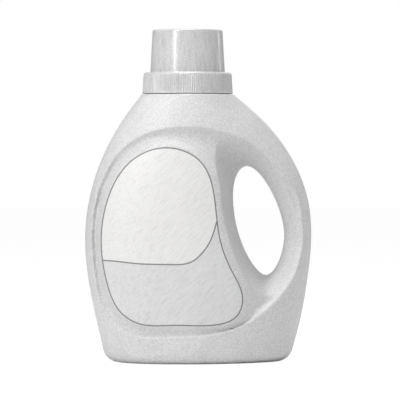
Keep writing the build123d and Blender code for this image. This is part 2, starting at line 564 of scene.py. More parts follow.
class Wiring:
    """Short ways to add and join nodes in one node tree."""

    def __init__(self, tree: bpy.types.NodeTree) -> None:
        """Works on one tree."""
        self.tree = tree

    def node(self, kind: str, **settings: object) -> bpy.types.Node:
        """Adds a node.

        Args:
            kind: Node type.
            settings: Properties to set on it.

        Returns:
            The node.
        """
        made = self.tree.nodes.new(kind)
        for label, value in settings.items():
            setattr(made, label, value)
        return made

    def join(self, source: Socket, target: Socket) -> None:
        """Links an output to an input."""
        self.tree.links.new(source, target)

    def maths(self, operation: str, *values: Socket | float) -> Socket:
        """Adds a Math node.

        Args:
            operation: Its operation.
            values: Its inputs, sockets or numbers.

        Returns:
            Its output.
        """
        made = self.node("ShaderNodeMath", operation=operation)
        for socket, value in zip(made.inputs, values):
            if isinstance(value, Socket):
                self.join(value, socket)
            else:
                socket.default_value = value
        return made.outputs[0]

    def remap(self, value: Socket, low: float, high: float, start: float = 0.0, end: float = 1.0) -> Socket:
        """Maps a range smoothly to another.

        Args:
            value: The input.
            low: Start of its range.
            high: End of its range.
            start: Result at the start.
            end: Result at the end.

        Returns:
            The mapped value.
        """
        made = self.node("ShaderNodeMapRange", interpolation_type="SMOOTHSTEP")
        self.join(value, made.inputs["Value"])
        for label, number in (("From Min", low), ("From Max", high), ("To Min", start), ("To Max", end)):
            made.inputs[label].default_value = number
        return made.outputs["Result"]

    def mix(self, share: Socket, first: Socket | Colour, second: Socket | Colour) -> Socket:
        """Mixes two colours.

        Args:
            share: How much of the second.
            first: Colour at 0.
            second: Colour at 1.

        Returns:
            The mixed colour.
        """
        made = self.node("ShaderNodeMix", data_type="RGBA")
        self.join(share, made.inputs[0])
        for socket, value in ((made.inputs[6], first), (made.inputs[7], second)):
            if isinstance(value, Socket):
                self.join(value, socket)
            else:
                socket.default_value = (*value, 1.0)
        return made.outputs[2]


def stipple_group() -> bpy.types.ShaderNodeTree:
    """Fine speckle with a faint broad drift, for moulded and printed surfaces.

    Returns:
        The group. Speckle is the fine mask, Drift the broad one, both round one half,
        and Height follows the speckle.
    """
    outputs = {"Speckle": "NodeSocketFloat", "Drift": "NodeSocketFloat", "Height": "NodeSocketFloat"}
    group = new_group("stipple", {"Size": 1.0, "Broad": 30.0}, outputs)
    w = Wiring(group)
    given, result = group.nodes["in"], group.nodes["out"]
    place = w.node("ShaderNodeTexCoord").outputs["Object"]
    for mask, size, detail, roughness in (("Drift", "Broad", 3.0, 0.5), ("Speckle", "Size", 1.5, 0.6)):
        noise = w.node("ShaderNodeTexNoise", noise_dimensions="3D")
        noise.inputs["Detail"].default_value = detail
        noise.inputs["Roughness"].default_value = roughness
        w.join(place, noise.inputs["Vector"])
        w.join(w.maths("DIVIDE", 1.0 / MM, given.outputs[size]), noise.inputs["Scale"])
        w.join(w.remap(noise.outputs["Fac"], 0.3, 0.7), result.inputs[mask])
    w.join(noise.outputs["Fac"], result.inputs["Height"])
    return group


def stroke_group() -> bpy.types.ShaderNodeTree:
    """Fine marks that lie side by side, upright or slanted.

    Returns:
        The group. Mask is 1 on a mark.
    """
    group = new_group("strokes", {"Spacing": 1.5, "Stretch": 20.0, "Lean": 0.0}, {"Mask": "NodeSocketFloat"})
    w = Wiring(group)
    given, result = group.nodes["in"], group.nodes["out"]
    turn = w.node("ShaderNodeVectorRotate", rotation_type="Y_AXIS")
    w.join(w.node("ShaderNodeTexCoord").outputs["Object"], turn.inputs["Vector"])
    w.join(given.outputs["Lean"], turn.inputs["Angle"])
    parts = w.node("ShaderNodeSeparateXYZ")
    w.join(turn.outputs["Vector"], parts.inputs[0])
    across = w.maths("DIVIDE", 1.0 / MM, given.outputs["Spacing"])
    along = w.maths("DIVIDE", across, given.outputs["Stretch"])
    together = w.node("ShaderNodeCombineXYZ")
    for part, scale in (("X", across), ("Y", across), ("Z", along)):
        w.join(w.maths("MULTIPLY", parts.outputs[part], scale), together.inputs[part])
    noise = w.node("ShaderNodeTexNoise", noise_dimensions="3D")
    noise.inputs["Scale"].default_value = 1.0
    noise.inputs["Detail"].default_value = 2.0
    w.join(together.outputs[0], noise.inputs["Vector"])
    w.join(w.remap(noise.outputs["Fac"], 0.42, 0.74), result.inputs["Mask"])
    return group


@dataclass(frozen=True)
class Finish:
    """How a moulded plastic or foam surface looks."""

    name: str
    light: Colour
    dark: Colour
    roughness: float
    speckle: float
    speckle_size: float = 1.0
    drift: float = 0.3
    relief: float = 0.05
    strokes: float = 0.0
    stroke_spacing: float = 1.6
    stroke_stretch: float = 20.0
    grain: Grain = Grain.UPRIGHT
    coat: float = 0.0
    coat_roughness: float = 0.18
    # Width of the parting seam in mm: a real ridge in the bump, plus a painted highlight that lightens the
    # colour along it.
    seam_and_highlight: float = 0.0
    roughness_gain: float = 0.12
    bump_depth: float = 0.4

    def lean(self) -> float:
        """Turn of the marks from upright, in radians."""
        return math.radians(SLANT) if self.grain is Grain.SLANTED else 0.0

    def shader(self) -> tuple[bpy.types.Material, Wiring, bpy.types.Node]:
        """Starts the material with its shader and constant values.

        Returns:
            The material, its wiring and the shader node.
        """
        material = bpy.data.materials.new(self.name)
        material.use_nodes = True
        w = Wiring(material.node_tree)
        shader = material.node_tree.nodes["Principled BSDF"]
        shader.inputs["IOR"].default_value = 1.5
        shader.inputs["Specular IOR Level"].default_value = 0.5
        shader.inputs["Coat Weight"].default_value = self.coat
        shader.inputs["Coat Roughness"].default_value = self.coat_roughness
        return material, w, shader

    def marks(self, w: Wiring) -> tuple[Socket, Socket]:
        """Adds the speckle and strokes.

        Args:
            w: Wiring of the material.

        Returns:
            The darkening mask and the height of the fine relief.
        """
        stipple = w.node("ShaderNodeGroup", node_tree=bpy.data.node_groups["stipple"])
        stipple.inputs["Size"].default_value = self.speckle_size
        mask = w.maths("MULTIPLY", stipple.outputs["Speckle"], self.speckle)
        mask = w.maths("ADD", mask, w.maths("MULTIPLY", stipple.outputs["Drift"], self.drift))
        if self.strokes:
            strokes = w.node("ShaderNodeGroup", node_tree=bpy.data.node_groups["strokes"])
            strokes.inputs["Spacing"].default_value = self.stroke_spacing
            strokes.inputs["Stretch"].default_value = self.stroke_stretch
            strokes.inputs["Lean"].default_value = self.lean()
            mask = w.maths("ADD", mask, w.maths("MULTIPLY", strokes.outputs["Mask"], self.strokes))
        return w.maths("MINIMUM", mask, 1.0), stipple.outputs["Height"]

    def cover(self, w: Wiring, shader: bpy.types.Node, colour: Socket, mask: Socket, height: Socket) -> None:
        """Joins colour, roughness and fine relief to the shader.

        Args:
            w: Wiring of the material.
            shader: Its shader node.
            colour: The finished colour.
            mask: The darkening mask, which also roughens.
            height: Height of the fine relief.
        """
        w.join(colour, shader.inputs["Base Color"])
        rough = w.maths("ADD", w.maths("MULTIPLY", mask, self.roughness_gain), self.roughness)
        w.join(rough, shader.inputs["Roughness"])
        bump = w.node("ShaderNodeBump")
        bump.inputs["Strength"].default_value = self.relief
        bump.inputs["Distance"].default_value = self.bump_depth * MM
        w.join(height, bump.inputs["Height"])
        w.join(bump.outputs["Normal"], shader.inputs["Normal"])

    def material(self) -> bpy.types.Material:
        """Builds the finish.

        Returns:
            The material.
        """
        material, w, shader = self.shader()
        mask, height = self.marks(w)
        colour = w.mix(mask, self.light, self.dark)
        # Parting seam on the y = 0 plane: a real ridge in the bump, and a painted highlight that lightens
        # the colour along it where it runs on the silhouette.
        if self.seam_and_highlight:
            parts = w.node("ShaderNodeSeparateXYZ")
            w.join(w.node("ShaderNodeTexCoord").outputs["Object"], parts.inputs[0])
            away = w.maths("ABSOLUTE", parts.outputs["Y"])
            line = w.remap(away, 0.5 * self.seam_and_highlight * MM, 1.5 * self.seam_and_highlight * MM, 1.0, 0.0)
            colour = w.mix(w.maths("MULTIPLY", line, 0.35), colour, self.light)
            height = w.maths("ADD", height, w.maths("MULTIPLY", line, 1.5))
        self.cover(w, shader, colour, mask, height)
        return material


@dataclass(frozen=True)
class LabelFinish(Finish):
    """Printed film: an upper and a lower field with a fine printed line between them, and a dark line round
    the film's edge that is partly a printed keyline and partly painted shade where the edge meets the pad.
    """

    lower_light: Colour = (0.6, 0.6, 0.62)
    lower_dark: Colour = (0.5, 0.5, 0.52)
    # Colour of the printed line between the fields, and of the edge line, which is partly painted shade.
    line: Colour = (0.16, 0.155, 0.15)
    line_width: float = 0.7
    rim_line_and_shade_width: float = 1.3
    roughness_gain: float = 0.1
    bump_depth: float = 0.2

    def material(self) -> bpy.types.Material:
        """Builds the finish. It reads the numbers rim_distance and field_distance of each vertex.

        Returns:
            The material.
        """
        material, w, shader = self.shader()
        mask, height = self.marks(w)
        upper = w.mix(mask, self.light, self.dark)
        lower = w.mix(mask, self.lower_light, self.lower_dark)
        split = w.node("ShaderNodeAttribute", attribute_name="field_distance").outputs["Fac"]
        rim = w.node("ShaderNodeAttribute", attribute_name="rim_distance").outputs["Fac"]
        colour = w.mix(w.remap(split, -0.2, 0.2), upper, lower)
        border = w.remap(w.maths("ABSOLUTE", split), 0.5 * self.line_width, self.line_width, 1.0, 0.0)
        # Dark line round the film's edge: partly a printed keyline, partly painted shade where the edge
        # meets the pad.
        edge = w.remap(rim, 0.5 * self.rim_line_and_shade_width, self.rim_line_and_shade_width, 1.0, 0.0)
        colour = w.mix(w.maths("MAXIMUM", border, edge), colour, self.line)
        self.cover(w, shader, colour, mask, height)
        return material


# ---- pieces -----------------------------------------------------------------------


@dataclass(frozen=True)
class Layout:
    """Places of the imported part, in millimetres."""

    body_width: float
    shoulder: float
    neck_x: float
    neck_radius: float
    neck_rim: float
    cap_base: float
    cap_top: float
    skirt_radius: float
    flange_top: float
    seal_top: float

    @classmethod
    def read(cls) -> "Layout":
        """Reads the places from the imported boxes.

        Returns:
            The layout.
        """
        nodes = ("bottle", "dosing_cap", "cap_seal")
        bottle, cap, seal = ([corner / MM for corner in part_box(node)] for node in nodes)
        return cls(
            body_width=round(bottle[1].x - bottle[0].x, 1),
            shoulder=cap[0].z - CAP_GAP,
            neck_x=(cap[0].x + cap[1].x) / 2.0,
            neck_radius=(seal[1].x - seal[0].x) / 2.0,
            neck_rim=bottle[1].z,
            cap_base=cap[0].z,
            cap_top=cap[1].z,
            skirt_radius=(cap[1].x - cap[0].x) / 2.0,
            flange_top=seal[0].z,
            seal_top=seal[1].z,
        )


@dataclass(frozen=True)
class Thread:
    """Screw thread shared by the neck and the cap."""

    lead: float = 12.0
    starts: int = 3
    width: float = 1.5
    flank: Pair = (0.5, 0.3)
    height: float = 1.0
    low: float = 229.6
    high: float = 238.4
    run_out: float = 1.0

    def ridge(self, angle: Array, level: Array, offset: float) -> Array:
        """Height of the thread above its root.

        Args:
            angle: Angle round the neck.
            level: Height above the base.
            offset: Place of this thread between two turns of the other, in turns.

        Returns:
            The ridge's height.
        """
        pitch = self.lead / self.starts
        turn = (level - self.lead * angle / (2.0 * math.pi)) / pitch + offset
        away = np.abs(turn - np.round(turn)) * pitch
        crest = ramp(away, 0.5 * self.width + self.flank[0], 0.5 * self.width - self.flank[1])
        rising = ramp(level, self.low, self.low + self.run_out)
        return self.height * crest * rising * ramp(level, self.high, self.high - self.run_out)


@dataclass(frozen=True)
class BottleBody:
    """Blown bottle: shaped body with handle, grooved panels, neck and base."""

    layout: Layout
    thread: Thread
    half_depth: float = 56.0
    land_radius: float = 38.55
    wall: float = 1.6
    base_radius: float = 9.0
    push_up: float = 3.5
    foot_width: float = 13.0
    neck_wall: float = 3.0
    neck_bead: float = 1.3
    bead_height: float = 2.5
    neck_root: float = 1.2
    neck_step: float = 0.45
    neck_columns: int = 180
    bore_ends: Pair = (2.0, -5.0)
    bore_columns: int = 120
    shoulder_edge: float = 0.6
    finger_width: float = 42.0
    finger_length: float = 91.0
    finger_centre: float = 118.8
    hole_left: float = 29.6
    throat: float = 9.0
    throat_round: float = 5.0
    pocket_rim: float = 18.6
    groove_depth: float = 3.4
    groove_run: float = 8.0
    groove_slope: float = 0.35
    rim_drop: float = 1.7
    hollow_slope: float = 0.30
    hollow_span: Pair = (12.0, 24.0)
    groove_wall: Pair = (-0.2, 0.7)
    hollow_wall: Pair = (-0.1, 0.35)
    narrowest: float = 0.3
    pad_drop: float = 0.7
    pad_reached: float = 0.95
    edge_blend: float = 0.9
    crease: float = 38.0
    margin: float = 3.5
    step: float = 1.4
    outline_step: float = 0.8
    opening_step: float = 1.2
    opening_layers: int = 10
    stations: tuple[tuple[float, float, float, float], ...] = (
        (0.00, -0.815, 0.800, 0.915),
        (0.13, -0.888, 0.888, 0.965),
        (0.29, -0.965, 0.960, 0.992),
        (0.47, -1.000, 1.000, 1.000),
        (0.63, -0.951, 0.956, 0.988),
        (0.77, -0.840, 0.813, 0.935),
        (0.88, -0.702, 0.621, 0.845),
        (0.95, -0.590, 0.450, 0.760),
    )
    fullness: Pair = (0.64, 0.46)
    panel: tuple[Pair, ...] = (
        (0.715, 0.876), (0.332, 0.816), (0.137, 0.678), (0.061, 0.510), (0.080, 0.332),
        (0.192, 0.168), (0.340, 0.114), (0.662, 0.102), (0.980, 0.116), (1.253, 0.170),
        (1.491, 0.294), (1.590, 0.480), (1.540, 0.643), (1.369, 0.733), (1.150, 0.818),
        (0.950, 0.866),
    )
    pad: tuple[Pair, ...] = (
        (0.627, 0.836), (0.303, 0.762), (0.145, 0.627), (0.097, 0.465), (0.137, 0.296),
        (0.250, 0.176), (0.399, 0.134), (0.662, 0.126), (0.977, 0.128), (1.187, 0.158),
        (1.232, 0.246), (1.150, 0.345), (1.056, 0.465), (1.013, 0.598), (0.926, 0.757),
    )
    label: tuple[Pair, ...] = (
        (0.599, 0.802), (0.332, 0.746), (0.180, 0.621), (0.124, 0.465), (0.163, 0.306),
        (0.277, 0.187), (0.399, 0.151), (0.662, 0.145), (0.942, 0.145), (1.120, 0.178),
        (1.165, 0.238), (1.088, 0.345), (0.999, 0.465), (0.967, 0.585), (0.858, 0.750),
    )
    opening: tuple[tuple[float, float, float, float], ...] = (
        (0.29, 0.50, -0.25, 0.86), (0.55, 0.50, 0.10, 0.80), (1.00, 0.12, 1.80, 0.35),
        (1.00, -0.14, 1.80, 0.00), (1.00, -0.27, 1.80, -0.20), (0.86, -0.50, 0.70, -0.80),
        (0.65, -0.50, 0.15, -0.80), (0.46, -0.50, 0.00, -0.80), (0.00, -0.18, -0.23, -0.15),
        (0.00, 0.23, -0.27, 0.15), (0.00, 0.38, -0.42, 0.60), (0.12, 0.50, -0.85, 1.00),
    )
    fields: dict[str, object] = field(default_factory=dict)

    def __post_init__(self) -> None:
        """Fits the curves and measures the outlines that the shape reads."""
        shoulder, half = self.layout.shoulder, self.layout.body_width / 2.0
        table = np.array(self.stations)
        heights = np.append(table[:, 0], 1.0) * shoulder
        x, land = self.layout.neck_x, self.land_radius
        curves = (("left", half, x - land), ("right", half, x + land), ("depth", self.half_depth, land))
        for column, (name, scale, top) in enumerate(curves, 1):
            self.fields[name] = HeightCurve(heights, np.append(table[:, column] * scale, top))
        self.fields["last"] = float(heights[-2])
        share = np.linspace(0.0, 1.0, 400)
        rest = 1.0 - share
        for side, full in zip(("reach_left", "reach_right"), self.fullness):
            across = rest**3 + 3 * rest**2 * share + 3 * rest * share**2 * full
            up = 3 * rest**2 * share * full + 3 * rest * share**2 + share**3
            self.fields[side] = (np.arctan2(up, across), np.hypot(across, up))
        low, high = (-half - 4.0, -4.0), (half + 4.0, shoulder + 8.0)
        for name, points in (("panel", self.panel), ("pad", self.pad), ("label", self.label)):
            self.fields[name] = FaceField([self.face_curve(points)], low, high, self.outline_step)
        runs = np.linspace(0.0, self.half_depth, self.opening_layers)
        poles = np.array(self.opening)
        outlines = []
        for run in runs:
            x_poles = self.hole_left + poles[:, 0] * self.finger_width + poles[:, 2] * run
            z_poles = self.finger_centre + poles[:, 1] * self.finger_length + poles[:, 3] * run
            outlines.append(bezier_loop(np.stack([x_poles, z_poles], axis=1), 14))
        self.fields["opening"] = FaceField(outlines, (-20.0, 0.0), (half + 4.0, shoulder), self.opening_step)
        self.fields["run_step"] = float(runs[1])

    def face_curve(self, points: tuple[Pair, ...]) -> Array:
        """Outline on the face, from shares of the face's size.

        Args:
            points: Across from the body's left edge to the pocket's rim, and up to the shoulder.

        Returns:
            The closed line in millimetres.
        """
        left = -self.layout.body_width / 2.0
        span = self.pocket_rim - left
        return closed_curve([(left + across * span, up * self.layout.shoulder) for across, up in points])

    def gauge(self, points: Array) -> Array:
        """How far out a point is, against the section at its height.

        Args:
            points: Places.

        Returns:
            0 on the surface, -1 on the section's centre.
        """
        x, y, z = points.T
        centre = self.layout.neck_x
        on_right = x >= centre
        wide = np.where(on_right, self.fields["right"](z) - centre, centre - self.fields["left"](z))
        u = np.abs(x - centre) / wide
        v = np.abs(y) / self.fields["depth"](z)
        angle = np.arctan2(v, u)
        left, right = (np.interp(angle, *self.fields[side]) for side in ("reach_left", "reach_right"))
        reach = np.where(on_right, right, left)
        last = self.fields["last"]
        rounder = np.clip((z - last) / (self.layout.shoulder - last), 0.0, 1.0)
        return np.hypot(u, v) / (reach + (1.0 - reach) * rounder) - 1.0

    def side(self, points: Array) -> Array:
        """Signed distance to the body's side, without its reliefs."""
        return as_distance(self.gauge, points)

    def relief(self, x: Array, z: Array) -> Array:
        """Depth of the groove and the label pad.

        Args:
            x: Places across the face.
            z: Heights.

        Returns:
            How far the surface lies under the plain body.
        """
        panel, pad, label = (self.fields[name].at(x, z) for name in ("panel", "pad", "label"))
        inward, outward = np.clip(-panel, 0.0, None), np.clip(pad, 0.0, None)
        on_pad, to_label = np.clip(-pad, 0.0, None), np.clip(label, 0.0, None)
        width = np.maximum(inward + outward, self.narrowest)
        wide = ramp(width, *self.hollow_span)
        floor = self.groove_depth + (self.pad_drop + self.rim_drop - self.groove_depth) * wide
        # The wall falls over a share of groove_run, which shrinks where the channel is narrow.
        walls = zip(self.groove_wall, self.hollow_wall)
        start, end = ((narrow + (broad - narrow) * wide) * self.groove_run for narrow, broad in walls)
        fall = ramp(inward * np.maximum(1.0, self.groove_run / width), start, end)
        rise = ramp(on_pad / np.maximum(to_label + on_pad, self.narrowest), 0.0, self.pad_reached)
        hollow = (self.groove_slope + self.hollow_slope * wide) * inward * outward / width
        depth = floor * fall - (floor - self.pad_drop) * rise
        return (depth + hollow) * (panel < 0.0)

    def opening_gauge(self, points: Array) -> Array:
        """Distance on the face to the finger opening at a point's depth.

        Args:
            points: Places.

        Returns:
            Values that are negative inside the opening.
        """
        x, y, z = points.T
        past = np.abs(y) - self.throat
        run = 0.5 * (past + np.hypot(past, self.throat_round))
        return self.fields["opening"].at(x, z, run / self.fields["run_step"])

    def skin(self, points: Array) -> Array:
        """The whole outer surface below the neck.

        Args:
            points: Places.

        Returns:
            Signed distances, negative inside.
        """
        x, _, z = points.T
        side = self.side(points)
        lift = self.push_up * ramp(-side, self.foot_width, self.foot_width + 2.0 * self.push_up)
        body = round_edge(side + self.relief(x, z), lift - z, self.base_radius)
        body = round_edge(body, z - self.layout.shoulder, self.shoulder_edge)
        opening = as_distance(self.opening_gauge, points)
        return soft_max(body, -opening, self.edge_blend)

    def neck(self) -> Object:
        """Threaded neck, as a solid plug that reaches into the shoulder.

        Returns:
            The neck's object.
        """
        layout = self.layout
        bead = layout.shoulder + self.bead_height
        foot = layout.shoulder - self.neck_root
        radius = layout.neck_radius
        corners = [
            (0.0, layout.neck_rim, 0.0),
            (radius, layout.neck_rim, 0.5),
            (radius, bead + self.neck_bead, 0.3),
            (radius + self.neck_bead, bead, 0.9),
            (radius, bead - self.neck_bead, 0.3),
            (radius, foot, 0.0),
            (0.0, foot, 0.0),
        ]
        profile = outline_of(corners, self.neck_step, closed=False)
        profile = profile[(profile[:, 0] < ON_AXIS) | (profile[:, 0] > radius - 0.8)]

        def threaded(r: Array, z: Array, angle: Array) -> tuple[Array, Array]:
            """Adds the thread to the neck's side."""
            ridge = self.thread.ridge(angle, z, 0.0)
            return r + np.where(r > radius - 0.05, ridge, 0.0), z

        vertices, faces = turned(profile, self.neck_columns, layout.neck_x, threaded)
        return mesh_object("neck_plug", vertices, faces)

    def build(self) -> Object:
        """Makes the hollow bottle as one closed mesh.

        Returns:
            The bottle's object.
        """
        half = self.layout.body_width / 2.0
        low = np.array([-half, -self.half_depth, 0.0]) - self.margin
        high = np.array([half, self.half_depth, self.layout.shoulder]) + self.margin
        thing = mesh_object("bottle_shell", *surface_net(self.skin, low, high, self.step))
        combine(thing, self.neck(), "UNION")
        hollow = surface_net(lambda points: self.skin(points) + self.wall, low, high, 2.0 * self.step)
        combine(thing, mesh_object("hollow", *hollow), "DIFFERENCE")
        bore = self.layout.neck_radius - self.neck_wall
        top, foot = self.layout.neck_rim + self.bore_ends[0], self.layout.shoulder + self.bore_ends[1]
        drill = np.array([(0.0, top), (bore, top), (bore, foot), (0.0, foot)])
        bore_solid = turned(drill, self.bore_columns, self.layout.neck_x)
        combine(thing, mesh_object("bore", *bore_solid), "DIFFERENCE")
        smooth(thing, self.crease)
        return thing


@dataclass(frozen=True)
class Label:
    """Printed film on one of the two pads."""

    body: BottleBody
    front: bool
    gap: float = 0.02
    thickness: float = 0.15
    rings: int = 56
    crowding: float = 1.15
    passes: int = 8
    longest_move: float = 8.0
    least_slope: float = 0.2
    print_step: float = 0.6
    upper_field: tuple[Pair, ...] = (
        (-0.100, 0.386), (0.147, 0.383), (0.385, 0.374), (0.628, 0.371), (0.788, 0.381), (0.870, 0.416),
        (0.930, 0.463), (0.958, 0.504), (1.000, 0.580), (1.060, 0.700), (1.050, 0.850), (0.900, 1.000),
        (0.400, 1.050), (-0.100, 1.000), (-0.200, 0.700),
    )

    def spread(self, x: Array, z: Array, inset: float) -> Array:
        """Lays points of the face on the body.

        Args:
            x: Places across the face.
            z: Heights.
            inset: Depth under the plain body.

        Returns:
            The points in space.
        """
        side = -1.0 if self.front else 1.0
        points = np.stack([x, np.full_like(x, side * self.body.half_depth), z], axis=1)
        for _ in range(self.passes):
            slope = gradient(self.body.side, points)[:, 1]
            slope = np.where(np.abs(slope) < self.least_slope, side * self.least_slope, slope)
            push = (self.body.side(points) + inset) / slope
            points[:, 1] -= np.clip(push, -self.longest_move, self.longest_move)
        return points

    def build(self) -> Object:
        """Makes the film as a thin closed mesh with its two numbers for the print.

        Returns:
            The label's object.
        """
        rim = self.body.face_curve(self.body.label)
        rim = rim[::-1] if self.front else rim
        centre = rim.mean(axis=0)
        count = len(rim)
        shares = np.linspace(1.0, 0.0, self.rings, endpoint=False) ** self.crowding
        flat = np.concatenate([centre + (rim - centre) * share for share in shares] + [centre[None, :]])
        x, z = flat.T
        inset = self.body.pad_drop - self.gap
        vertices = np.concatenate([self.spread(x, z, inset - self.thickness), self.spread(x, z, inset)])
        total = len(flat)
        faces: list[list[int]] = []
        for row in range(self.rings - 1):
            under = np.roll(band_faces(row, row + 1, count), -1, axis=1)
            faces.extend(under[:, ::-1].tolist())
            faces.extend((under + total).tolist())
        inmost = (self.rings - 1) * count
        for here in range(count):
            following = (here + 1) % count
            faces.append([inmost + here, inmost + following, total - 1])
            faces.append([total + inmost + following, total + inmost + here, 2 * total - 1])
            faces.append([following, here, total + here, total + following])
        name = "front_label_film" if self.front else "back_label_film"
        thing = mesh_object(name, vertices, faces, 30.0)
        half = self.body.layout.body_width / 2.0
        low, high = (-half, 0.0), (half, self.body.layout.shoulder)
        upper = self.body.face_curve(self.upper_field)
        for value, line, sign in (("rim_distance", rim, -1.0), ("field_distance", upper, 1.0)):
            distance = FaceField([line], low, high, self.print_step).at(x, z)
            set_values(thing, value, np.tile(sign * distance, 2))
        return thing


@dataclass(frozen=True)
class MeasuringCap:
    """Screw cap that is also the measuring cup."""

    layout: Layout
    thread: Thread
    skirt_height: float = 18.0
    skirt_draft: float = 1.0
    cup_radius: float = 31.5
    cup_draft: float = 2.0
    wall: float = 1.8
    cup_round: float = 1.6
    skirt_round: float = 2.5
    ribs: int = 128
    rib_depth: float = 0.4
    columns_per_rib: int = 6
    profile_step: float = 0.9
    crease: float = 42.0

    def build(self) -> Object:
        """Makes the cap as one closed mesh.

        Returns:
            The cap's object.
        """
        layout = self.layout
        base, top = layout.cap_base, layout.cap_top
        shoulder = base + self.skirt_height
        upper_skirt = layout.skirt_radius - self.skirt_draft
        bore = upper_skirt - self.wall
        corners = [
            (0.0, top, 0.0),
            (self.cup_radius - self.cup_draft, top, self.cup_round),
            (self.cup_radius, shoulder, 0.5),
            (upper_skirt, shoulder, self.skirt_round),
            (layout.skirt_radius, base, 0.6),
            (bore, base, 0.4),
            (bore, layout.seal_top, 0.4),
            (self.cup_radius - self.wall, layout.seal_top, 0.3),
            (self.cup_radius - self.cup_draft - self.wall, top - self.wall, 1.0),
            (0.0, top - self.wall, 0.0),
        ]
        profile = outline_of(corners, self.profile_step, closed=False)

        def dressed(r: Array, z: Array, angle: Array) -> tuple[Array, Array]:
            """Adds the grip ribs outside the skirt and the thread inside it.

            Args:
                r: Radius of each point.
                z: Its height.
                angle: Its angle round the axis.

            Returns:
                The new radius and height.
            """
            outside = r > bore + 0.6
            along = ramp(z, base + 0.7, base + 1.6) * ramp(z, shoulder - 0.3, shoulder - 2.4)
            wave = 0.5 - 0.5 * np.cos(self.ribs * angle)
            ribbed = r - np.where(outside, self.rib_depth * wave**0.7 * along, 0.0)
            inside = (np.abs(r - bore) < 0.05) & (z < layout.seal_top - 0.5)
            return ribbed - np.where(inside, self.thread.ridge(angle, z, 0.5), 0.0), z

        vertices, faces = turned(profile, self.ribs * self.columns_per_rib, layout.neck_x, dressed)
        return mesh_object("measuring_cap", vertices, faces, self.crease)


@dataclass(frozen=True)
class PourSpout:
    """Drain-back pour spout: plug, flange, gutter and slotted spout."""

    layout: Layout
    bore_radius: float = 30.0
    clearance: float = 0.1
    wall: float = 1.6
    flange: float = 1.4
    plug_depth: float = 15.0
    spout_radius: float = 17.0
    spout_rise: float = 23.0
    slant: float = 11.0
    slot: float = 8.0
    fall: float = 4.0
    upright: float = 4.0
    slot_margin: float = 3.0
    profile_step: float = 1.2
    columns: int = 144
    crease: float = 35.0

    def build(self) -> Object:
        """Makes the spout as one closed mesh.

        Returns:
            The spout's object.
        """
        layout = self.layout
        top = layout.flange_top
        outer = self.bore_radius - self.clearance
        plug_foot = top - self.plug_depth
        foot, lip = plug_foot - self.fall, top + self.spout_rise
        inner = self.spout_radius - self.wall
        corners = [
            (outer - self.wall, top, 0.5),
            (layout.neck_radius, top, 0.4),
            (layout.neck_radius, top - self.flange, 0.3),
            (outer, top - self.flange, 0.0),
            (outer, plug_foot, 1.2),
            (inner, foot, 0.5),
            (inner, lip, 0.7),
            (self.spout_radius, lip, 0.7),
            (self.spout_radius, foot + self.wall, 1.2),
            (outer - self.wall, plug_foot + self.wall, 1.2),
        ]
        profile = outline_of(corners, self.profile_step, closed=True)

        level = foot + self.upright

        def slanted(r: Array, z: Array, angle: Array) -> tuple[Array, Array]:
            """Slants the spout's edge, which is highest on the pouring side.

            Args:
                r: Radius of each point.
                z: Its height.
                angle: Its angle round the axis.

            Returns:
                The same radius and the new height.
            """
            edge = lip - self.slant * (r * np.cos(angle) + self.spout_radius) / (2.0 * self.spout_radius)
            tall = (r < self.spout_radius + 0.3) & (z > level)
            return r, np.where(tall, level + (z - level) * (edge - level) / (lip - level), z)

        vertices, faces = turned(profile, self.columns, layout.neck_x, slanted)
        thing = mesh_object("pour_spout_insert", vertices, faces)
        xs = (layout.neck_x + inner - self.slot_margin, layout.neck_x + self.spout_radius + self.slot_margin)
        ys, zs = (-self.slot / 2.0, self.slot / 2.0), (foot + self.wall, lip + 2.0)
        box = [(x, y, z) for x in xs for y in ys for z in zs]
        sides = [(0, 1, 3, 2), (4, 6, 7, 5), (0, 4, 5, 1), (2, 3, 7, 6), (0, 2, 6, 4), (1, 5, 7, 3)]
        combine(thing, mesh_object("slot_cutter", box, [list(side) for side in sides]), "DIFFERENCE")
        smooth(thing, self.crease)
        return thing


@dataclass(frozen=True)
class CapSeal:
    """Foam ring in the cap."""

    layout: Layout
    width: float = 3.0
    edge: float = 0.2
    profile_step: float = 0.8
    columns: int = 144

    def build(self) -> Object:
        """Makes the ring.

        Returns:
            The ring's object.
        """
        outer = self.layout.neck_radius
        inner = outer - self.width
        low, high = self.layout.flange_top, self.layout.seal_top
        places = ((inner, high), (outer, high), (outer, low), (inner, low))
        profile = outline_of([(*place, self.edge) for place in places], self.profile_step, closed=True)
        return mesh_object("seal_ring", *turned(profile, self.columns, self.layout.neck_x))


